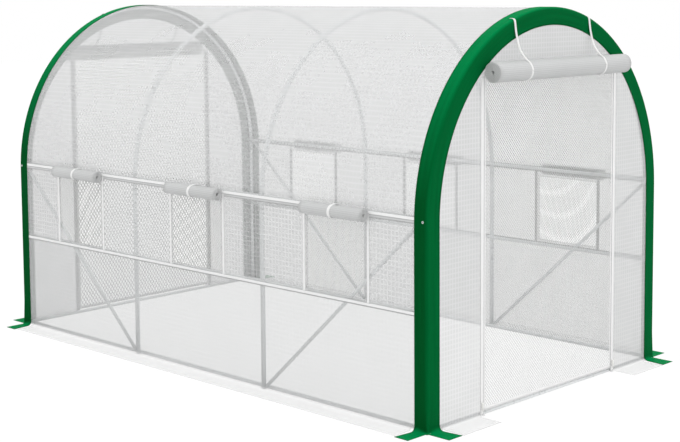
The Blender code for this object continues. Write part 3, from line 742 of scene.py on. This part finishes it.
def make_wall(side, sy):
    """A long wall with three window openings and its skirt on the ground."""
    skirt_end = HALF_LENGTH - TRIM_SIDE - FLAP_SPREAD - SKIRT_GAP
    half = WINDOW_WIDTH / 2
    low, high = WALL_LINE.up_to(WINDOW_BOTTOM), WALL_LINE.up_to(WINDOW_TOP)

    def keep(x, along):
        if along < SKIRT and abs(x) > skirt_end:
            return False
        return not (low < along < high and any(abs(x - c) < half for c in WINDOWS.values()))

    cuts = [(0, x) for x in (*HOOPS, -skirt_end, skirt_end)]
    cuts += [(0, c + s * half) for c in WINDOWS.values() for s in (-1, 1)]
    cuts += [(1, place) for place in (SKIRT, low, high)]
    bm = flat_cut((-COVER_END, 0.0), (COVER_END, SEAM_PLACE), cell=0.025, cuts=cuts, keep=keep)
    area = put(bm, on_wall, (1, -sy))
    node = f"{side}_wall_cover"
    wall = add_piece(f"{side}_wall_sheet", bm, COVER, FILM, slot="cover", replaces=(node,))


def make_wall_bands(side, sy):
    """White tape on the wall: over the two rails that it lies on, and beside the windows."""
    for level, height in (("upper", UPPER_RAIL), ("lower", LOWER_RAIL)):
        middle = WALL_LINE.up_to(height)
        strip(
            f"{side}_{level}_rail_tape", (-COVER_END, -RAIL_TAPE_BELOW[level]), (COVER_END, RAIL_TAPE_ABOVE),
            lambda x, up: on_wall(x, middle + up, -RAIL_TAPE_THICK), (1, -sy), RAIL_TAPE, cell=0.02,
            thickness=RAIL_TAPE_THICK - HAIR, slot="cover",
        )
    low, high = WALL_LINE.up_to(LOWER_RAIL) + STRIP_END, WALL_LINE.up_to(UPPER_RAIL) - STRIP_END
    for window, centre in WINDOWS.items():
        for edge, word in ((-1, "rear"), (1, "front")):
            middle = centre + edge * (WINDOW_WIDTH + STRIP_WIDTH) / 2 + STRIP_SHIFT[window]
            strip(
                f"{side}_{window}_window_{word}_strip", (-STRIP_WIDTH / 2, low), (STRIP_WIDTH / 2, high),
                lambda across, along: on_wall(middle + across, along, -STRIP_PROUD), (1, -sy), STRIP_TAPE,
                cell=0.006, thickness=STRIP_PROUD - HAIR, slot="cover",
            )


# Ends

def make_end_panel(end, sx):
    """An end panel with its doorway, cut from one flat piece, with skirts beside the doorway."""
    skirt_in = ZIP_Y + ZIP_BAND / 2 + SKIRT_GAP
    skirt_out = HALF_WIDTH - TRIM_END - FLAP_SPREAD - SKIRT_GAP
    bend = math.pi / 2 * SKIRT_BEND
    skirt = END_SKIRT - SKIRT_BEND + bend
    ground = bend - SKIRT_BEND - FILM  # flat height of the upright part's z = 0

    def keep(y, up):
        if up < 0:
            return skirt_in < abs(y) < skirt_out
        return abs(y) > DOORWAY_WIDTH / 2 or up > ground + DOORWAY_TOP

    foot = Line(turned_out(0.0, END_SKIRT, SKIRT_BEND, FILM))

    def place(y, up):
        if up < bend:
            point, _ = foot.at(max(0.0, foot.length - bend + up))
            return Vector((END_COVER - point.x, y, point.y))
        share = hang_end(y) * min(1.0, (up - bend) / END_SLACK_RISE)
        inside = share * RIPPLE * (1 + noise.noise(Vector((y / RIPPLE_SIZE, up / RIPPLE_SIZE / 2, 3.5 + sx))))
        return Vector((END_COVER - inside, y, up - ground))

    limit = arch(EDGE_INSET)
    cuts = [(0, s * y) for y in (DOORWAY_WIDTH / 2, skirt_in, skirt_out) for s in (-1, 1)]
    cuts += [(1, 0.0), (1, bend), (1, ground + DOORWAY_TOP)]
    width = HALF_WIDTH - EDGE_INSET
    bm = flat_cut((-width, -skirt + bend), (width, HEIGHT), cell=0.03, cuts=cuts, keep=keep)
    for a, b in zip(limit, limit[1:]):
        cut(bm, (*a, 0), (a[1] - b[1], b[0] - a[0], 0), True)
    area = put(bm, place, (sx, 1))
    panel = add_piece(f"{end}_end_sheet", bm, END, FILM, slot="cover", replaces=(f"{end}_end_cover",))


def hang_end(y):
    """How much slack an end panel shows at y: none at the hoop and beside the doorway."""
    stops = (ZIP_Y, HALF_WIDTH - HOOP_INSET)
    share = (abs(y) - stops[0]) / (stops[1] - stops[0])
    return 4 * share * (1 - share) if 0 < share < 1 else 0.0


def make_zip_bands(end, sx):
    """The tape that holds each zip, with the zip's coil as a ridge down its middle."""
    for side, sy in SIDES.items():

        def place(across, up):
            edge = min(1.0, (ZIP_BAND / 2 - abs(across)) / ZIP_BEVEL)
            coil = COIL_PROUD * max(0.0, 1 - abs(across) / COIL_HALF)
            return Vector((END_COVER + (ZIP_PROUD - COIL_PROUD) * edge + coil, ZIP_Y + across, up))

        strip(
            f"{end}_{side}_zip_band", (-ZIP_BAND / 2, ZIP_FOOT), (ZIP_BAND / 2, ZIP_TOP), place, (sx, sy),
            ZIP_TAPE, cell=0.002, thickness=0.0003, slot="cover",
        )


def make_trim(end, sx):
    """The green trim round an end: over the edge of the tunnel, with two flaps on the ground at each foot."""
    side_width = TRIM_SIDE - TRIM_CORNER
    foot = FLAP_BEND + TRIM
    flap = math.pi / 2 * FLAP_BEND + FLAP_OUT - FLAP_BEND  # flat length below the upright
    upright = Line([(-HALF_WIDTH, foot), *arch(0.0), (HALF_WIDTH, foot)])
    total = upright.length
    tight = FLAP_BEND - FOOT_CORNER + math.pi / 2 * FOOT_CORNER
    tight *= flap / (tight + FLAP_OUT - FOOT_CORNER)  # flat length where the corner reaches the ground

    def section(across, low):
        """The place along X, the inset and the turn round the edge at a width across and a flat height.

        The last number is the radius of the bend in which the trim turns out onto the ground there.
        """
        radius = FOOT_CORNER
        point, _ = upright.at(min(max(low, 0.0), total))
        if low > 0:
            radius += (TRIM_CORNER - FOOT_CORNER) * min(1.0, max(0.0, (point.y - foot) / CORNER_HEIGHT))
        turn = min(1.0, max(0.0, (across - side_width) / TRIM_BENT)) * math.pi / 2
        away = max(side_width - across, across - side_width - TRIM_BENT, 0.0)
        if turn == 0:
            x = HALF_LENGTH - TRIM_SIDE + across / side_width * (TRIM_SIDE - radius)
            inset = 0.0
        else:
            x = HALF_LENGTH - radius * (1 - math.sin(turn))
            inset = radius * (1 - math.cos(turn)) + away / (TRIM_END - TRIM_CORNER) * (TRIM_END - radius)
        share = min(1.0, away / FLAP_EASE)
        return x, inset, turn, FOOT_CORNER + (FLAP_BEND - FOOT_CORNER) * share * share * (3 - 2 * share)

    def place(across, along):
        x, inset, turn, bend = section(across, min(along, total - along))
        point, normal = upright.at(min(max(along, 0.0), total))
        y, z = point.x - inset * normal.x, point.y - inset * normal.y
        low = -along if along < 0 else along - total
        if low > 0:
            sy = -1 if along < 0 else 1
            straight, turned = FLAP_BEND - bend, math.pi / 2 * bend
            low *= (straight + turned + FLAP_OUT - bend) / flap
            angle = min(max(low - straight, 0.0), turned) / bend
            laid = max(0.0, low - straight - turned)
            out = bend * (1 - math.cos(angle)) + laid
            z -= min(low, straight) + bend * math.sin(angle)
            x += out * math.sin(turn)
            y += sy * out * math.cos(turn)
            spread = FLAP_SPREAD * laid / FLAP_OUT
            if turn == 0:
                x -= spread * (1 - across / side_width)
            elif turn > math.pi / 2 - 1e-6:
                y -= sy * spread * (across - side_width - TRIM_BENT) / (TRIM_END - TRIM_CORNER)
        return Vector((x, y, z))

    def keep(across, along):
        return -tight < along < total + tight or not side_width < across < side_width + TRIM_BENT

    steps = [side_width + TRIM_BENT * i / 8 for i in range(9)]
    cuts = [(0, s) for s in steps] + [(1, s) for s in (0, -tight, total, total + tight)]
    bm = flat_cut((0.0, -flap), (TRIM_FLAT, total + flap), cell=0.010, cuts=cuts, keep=keep)
    area = put(bm, place, (sx, 1))
    trim = add_piece(f"{end}_green_trim", bm, GREEN, TRIM, slot="green_trim", replaces=(f"{end}_trim",))


def make_eyelets(end, sx):
    """A small pressed ring in each side of a trim, near the height of the upper rail."""
    for side, sy in SIDES.items():
        bm = bmesh.new()
        centre = Vector((EYELET_X, -HALF_WIDTH, EYELET_HEIGHT))
        section = [bm.verts.new(centre + Vector((reach, -out, 0))) for reach, out in EYELET_RING]
        section += [bm.edges.new(pair) for pair in zip(section, section[1:] + section[:1])]
        bmesh.ops.spin(
            bm, geom=section, cent=centre, axis=(0, 1, 0), angle=math.tau, steps=24, use_merge=True
        )
        bmesh.ops.scale(bm, vec=(sx, -sy, 1), verts=bm.verts)
        bmesh.ops.recalc_face_normals(bm, faces=bm.faces)
        add_piece(f"{end}_{side}_trim_eyelet", bm, STEEL, slot="steel")


# Nets

def make_net(name, low, high, place, mirror, node, body="frame", mesh=MESH):
    """A net of two layers of straight slanting strands, which cross in diamonds.

    place(u, v, depth) gives a point that lies this deep behind the net's face.
    """
    (u0, v0), (u1, v1) = low, high
    wide, tall, strand = mesh
    slope = wide / tall
    lean = (v1 - v0) * slope
    count = math.ceil((u1 - u0 + lean) / wide)
    rows = max(1, round((v1 - v0) / 0.08))
    whole = bmesh.new()
    for way in (1, -1):
        bm = bmesh.new()
        bmesh.ops.create_grid(bm, x_segments=2 * count, y_segments=rows, size=0.5)
        gone = [f for f in bm.faces if round((f.calc_center_median().x + 0.5) * 2 * count - 0.5) % 2]
        bmesh.ops.delete(bm, geom=gone, context="FACES")
        for vert in bm.verts:
            index = round((vert.co.x + 0.5) * 2 * count)
            across = (index // 2) * wide + (index % 2) * strand
            up = v0 + (vert.co.y + 0.5) * (v1 - v0)
            u = u0 - lean + across + slope * (up - v0)
            vert.co = (u if way > 0 else u0 + u1 - u, up, way)
        if way < 0:
            bmesh.ops.reverse_faces(bm, faces=bm.faces)
        for at, sign in ((u0, -1), (u1, 1)):
            cut(bm, (at, 0, 0), (sign, 0, 0), True)
        half = bpy.data.meshes.new("half")
        bm.to_mesh(half)
        bm.free()
        whole.from_mesh(half)
        bpy.data.meshes.remove(half)
    put(whole, lambda u, v, way: place(u, v, LAYER_STEP if way < 0 else 0.0), mirror, layered=True)
    return add_piece(name, whole, NETTING, STRAND_THICK, body, "netting", (node,), False)


def make_window_net(side, sy, window, centre):
    """A window's net, and the cover's hem round it."""
    low, high = WALL_LINE.up_to(WINDOW_BOTTOM), WALL_LINE.up_to(WINDOW_TOP)
    half = WINDOW_WIDTH / 2
    first, last = (centre - half + GAP, low + GAP), (centre + half - GAP, high - GAP)
    name = f"{side}_{window}_window"
    net = make_net(
        name + "_mesh", first, last, lambda x, along, depth: on_wall(x, along, FILM + HAIR + depth), (1, -sy),
        name + "_net",
    )
    bm = rounded_frame(first, last, HEM, HEM_CORNER)
    put(bm, lambda x, along: on_wall(x, along, HAIR), (1, -sy))
    hem = add_piece(name + "_hem", bm, COVER, thickness=0.0006, slot="cover")


def make_mesh_door(end, sx):
    """The zipped net in a doorway, with its hem."""
    node = f"{end}_mesh_door"
    bottom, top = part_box(node)[0].z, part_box(node)[1].z
    x = END_COVER - SHEET / 2 + STRAND_THICK
    half = DOORWAY_WIDTH / 2 - GAP
    net = make_net(
        f"{end}_door_mesh", (-half, bottom), (half, top), lambda y, up, depth: Vector((x - depth, y, up)),
        (sx, 1), node, node, MESH if end == "front" else REAR_MESH,
    )

    def keep(y, up):
        return abs(y) > half - HEM or not bottom + 2 * HEM < up < top - HEM

    cuts = [(0, s * (half - HEM)) for s in (-1, 1)] + [(1, bottom + 2 * HEM), (1, top - HEM)]
    bm = flat_cut((-half, bottom), (half, top), cell=0.05, cuts=cuts, keep=keep)
    put(bm, lambda y, up: Vector((x + 2 * STRAND_THICK, y, up)), (sx, 1))
    hem = add_piece(f"{end}_door_mesh_hem", bm, BAND, thickness=0.0005, body=node, slot="netting")


# Rolled flaps

def spiral(roll):
    """The line (out, up) of cloth wound inwards from ROLL_START, as points round the roll's axis."""
    points = []
    for i in range(roll["turns"] * roll["steps"] + 1):
        turn = i / roll["steps"]
        angle = ROLL_START - math.tau * turn
        reach = roll["radius"] - roll["pitch"] * turn
        points.append((reach * math.cos(angle), reach * math.sin(angle)))
    return points


def make_rolled_flap(names, roll, behind, seed, axis_point, mirror, node):
    """A flap wound up on itself, and the part from its seam down to the roll.

    At the seam the cover's face lies this far behind the roll's axis. axis_point(along, out, up) gives a
    world point.
    """
    wound = Line(spiral(roll))
    half = roll["length"] / 2

    def place(along, inwards):
        """Puts in shallow dents about 0.1 m apart, and ends that aren't quite flush."""
        point, _ = wound.at(inwards)
        turn = inwards / wound.length
        wave = noise.noise(Vector((along / 0.09, inwards / 0.11, seed)))
        slip = 0.004 * (turn - 0.3) * noise.noise(Vector((inwards / 0.05, seed, 0.5)))
        slip *= (abs(along) / half) ** 8
        point = point * (1 + 0.012 * wave)
        return axis_point(along * (1 + slip / half), point.x, point.y)

    cell = (0.03, wound.length / (roll["turns"] * roll["steps"]))
    bm = flat_cut((-half, 0.0), (half, wound.length), cell)
    put(bm, place, mirror)
    rolled = add_piece(names[0], bm, ROLLED, roll["pitch"] - LAYER_GAP, node, "rolled_cloth", (node,))

    clear = (roll["clear"] - behind, roll["seam"] - FLAP_DROP)
    meets = (roll["radius"] * math.cos(ROLL_START), roll["radius"] * math.sin(ROLL_START))
    hanging = Line(smooth_line([(FLAP_PROUD - behind, roll["seam"]), clear, meets], 12))
    length, side = hanging.length, roll["seam_width"] / 2
    cuts = [(1, length * i / 24) for i in range(1, 24)]
    bm = flat_cut((-side, 0.0), (side, length), cell=0.02, cuts=cuts)
    put(bm, lambda along, down: axis_point(along, *hanging.at(down)[0]), mirror)
    flap = add_piece(names[1], bm, ROLLED, FILM, None, "rolled_cloth")
    low, high = axis_point(0.0, *hanging.at(length)[0]), axis_point(0.0, *clear)
    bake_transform(flap)


def make_door_roll(end, sx):
    """A doorway's outer flap, rolled up over it."""
    x = HALF_LENGTH + DOOR_ROLL_OUT

    def axis_point(along, out, up):
        return Vector((x + out, DOOR_ROLL_SHIFT + along, DOOR_ROLL_HEIGHT + up))

    names = (f"{end}_rolled_door", f"{end}_door_flap")
    make_rolled_flap(names, DOOR_ROLL, x - END_COVER, 1.5 + sx, axis_point, (sx, 1), f"{end}_door_roll")


def make_window_roll(side, sy, window, centre):
    """A window's flap, rolled up over it, and the strap that holds it."""
    y = -HALF_WIDTH - WINDOW_ROLL_OUT

    def axis_point(along, out, up):
        return Vector((centre + WINDOW_ROLL_SHIFT + along, y - out, WINDOW_ROLL_HEIGHT + up))

    node = f"{side}_{window}_window_roll"
    names = (f"{side}_{window}_rolled_flap", f"{side}_{window}_window_flap")
    back = wall_y(WINDOW_ROLL_HEIGHT + WINDOW_ROLL["seam"], COVER_INSET) + y
    make_rolled_flap(names, WINDOW_ROLL, -back, 4.5 + centre + sy, axis_point, (1, -sy), node)
    reach = WINDOW_ROLL["radius"] + STRAP_PROUD
    ring = Line(arc((0, 0), reach, math.radians(95), math.radians(-200), 40))
    over = Line(smooth_line([(back, reach + 0.001), (back * 0.5, reach + 0.0035), (0.004, reach + 0.0012)]))
    for word, line, body in (("strap", ring, node), ("strap_root", over, "frame")):
        webbing(
            f"{side}_{window}_window_{word}", line, STRAP_WIDTH, axis_point, (1, -sy), cell=0.004,
            thickness=STRAP_THICKNESS, body=body,
        )


def make_ties(end, sx):
    """Webbing ties over a rolled door: from the trim's top edge down over the roll's front, and under it."""
    centre = Vector((DOOR_ROLL_OUT, DOOR_ROLL_HEIGHT))
    reach = DOOR_ROLL["radius"] + TIE_THICKNESS + TIE_CLEAR
    for side, y in TIE_POSITIONS.items():

        def place(across, out, up):
            return Vector((HALF_LENGTH + out, y - across, up))

        top = arch_z(y, 0.0)
        front = centre.x + reach
        path = [  # (out, up) of points on the tie's outer face
            (-TIE_HEM, top + TIE_THICKNESS), (-0.014, top + TIE_THICKNESS), (-0.004, top - 0.002),
            (TIE_THICKNESS, top - 0.016), (0.011, top - 0.075), (0.033, top - 0.148),
            (0.070, centre.y + 0.060), (0.097, centre.y + 0.039), (front, centre.y + 0.010),
            (front, centre.y),
        ]
        hanging = Line(smooth_line(path))
        under = Line(arc(centre, reach, 0, -math.radians(100), 16))
        for word, line, ride in (
            ("tape", hanging, {"replaces": (f"{end}_{side}_tie",)}),
            ("end", under, {"body": f"{end}_door_roll"}),
        ):
            name = f"{end}_{side}_tie_{word}"
            webbing(name, line, TIE_WIDTH, place, (sx, 1), cell=0.0065, thickness=TIE_THICKNESS, **ride)


def make_sliders():
    """The zip sliders keep the shape that they have in the frame, in moulded nylon."""
    for end in ENDS:
        for side in SIDES:
            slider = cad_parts[f"{end}_{side}_zip_slider"]
            slider.data.materials.clear()
            slider.data.materials.append(NYLON)


# Floor, light and camera

def make_stage():
    """A pale floor that the camera sees as white, with the object's soft shadow, under a white sky."""
    bm = bmesh.new()
    bmesh.ops.create_grid(bm, x_segments=1, y_segments=1, size=30)
    bmesh.ops.translate(bm, vec=(0, 0, -0.001), verts=bm.verts)
    floor_finish = bpy.data.materials.new("pale_studio_floor")
    floor_finish.use_nodes = True
    tree = floor_finish.node_tree
    tree.nodes.clear()
    seen = add_seen(tree)
    matt = add(tree, "BsdfDiffuse", {"Color": (0.8, 0.8, 0.8, 1)})
    white = add(tree, "Emission", {"Color": "ffffff", "Strength": 0.90})
    shaded = add(tree, "BsdfDiffuse", {"Color": (0.12, 0.12, 0.12, 1)})
    pale = add(tree, "AddShader", links={0: white, 1: shaded})
    mixed = add(tree, "MixShader", links={0: seen, 1: matt, 2: pale})
    add(tree, "OutputMaterial", links={"Surface": mixed})
    floor = bpy.data.objects.new("floor", to_mesh("floor", bm, False))
    floor.data.materials.append(floor_finish)
    bpy.context.scene.collection.objects.link(floor)

    world = bpy.data.worlds.new("studio")
    bpy.context.scene.world = world
    world.use_nodes = True
    tree = world.node_tree
    tree.nodes.clear()
    seen = add_seen(tree)
    light = add(tree, "Background", {"Color": "ffffff", "Strength": 1.03})
    white = add(tree, "Background", {"Color": "ffffff", "Strength": 1.0})
    mixed = add(tree, "MixShader", links={0: seen, 1: light, 2: white})
    add(tree, "OutputWorld", links={"Surface": mixed})

    sun = bpy.data.lights.new("overhead_softbox", "SUN")
    sun.energy = 0.7
    sun.angle = math.radians(50)
    lamp = bpy.data.objects.new("overhead_softbox", sun)
    lamp.rotation_euler = Vector((0.35, -0.03, 1.0)).to_track_quat("Z", "Y").to_euler()
    bpy.context.scene.collection.objects.link(lamp)


def add_seen(tree):
    """1 for rays from the camera, and for those that gloss or clear film sends on."""
    rays = add(tree, "LightPath").outputs
    first = add(tree, "Math", {"operation": "MAXIMUM"}, {0: rays["Is Camera Ray"], 1: rays["Is Glossy Ray"]})
    return add(tree, "Math", {"operation": "MAXIMUM"}, {0: first, 1: rays["Is Transmission Ray"]})


def make_camera():
    """The photograph's camera, fitted to the tunnel's lines, with part of the photograph's lens shift."""
    lens = bpy.data.cameras.new("camera")
    lens.sensor_width = 36.0
    lens.lens = 76.527
    lens.shift_y = -0.1412
    lens.clip_end = 100.0
    camera = bpy.data.objects.new("camera", lens)
    yaw, pitch, roll = (math.radians(angle) for angle in (44.2950, 5.3867, -0.3970))
    turn = Matrix.Rotation(yaw, 4, "Z") @ Matrix.Rotation(math.pi / 2 - pitch, 4, "X")
    turn @= Matrix.Rotation(roll, 4, "Z")
    camera.matrix_world = Matrix.Translation((6.0416, -6.0188, 2.0983)) @ turn
    bpy.context.scene.collection.objects.link(camera)
    bpy.context.scene.camera = camera
    bpy.context.scene.view_settings.view_transform = "Standard"


make_camera()
make_stage()
make_rails()
for number, x in enumerate(reversed(HOOPS), 1):
    make_hoop(f"hoop_{number}", x)
make_roof()
for side, sy in SIDES.items():
    make_wall(side, sy)
    make_wall_bands(side, sy)
    for window, centre in WINDOWS.items():
        make_window_net(side, sy, window, centre)
        make_window_roll(side, sy, window, centre)
for end, sx in ENDS.items():
    make_end_panel(end, sx)
    make_zip_bands(end, sx)
    make_trim(end, sx)
    make_eyelets(end, sx)
    make_mesh_door(end, sx)
    make_door_roll(end, sx)
    make_ties(end, sx)
make_sliders()
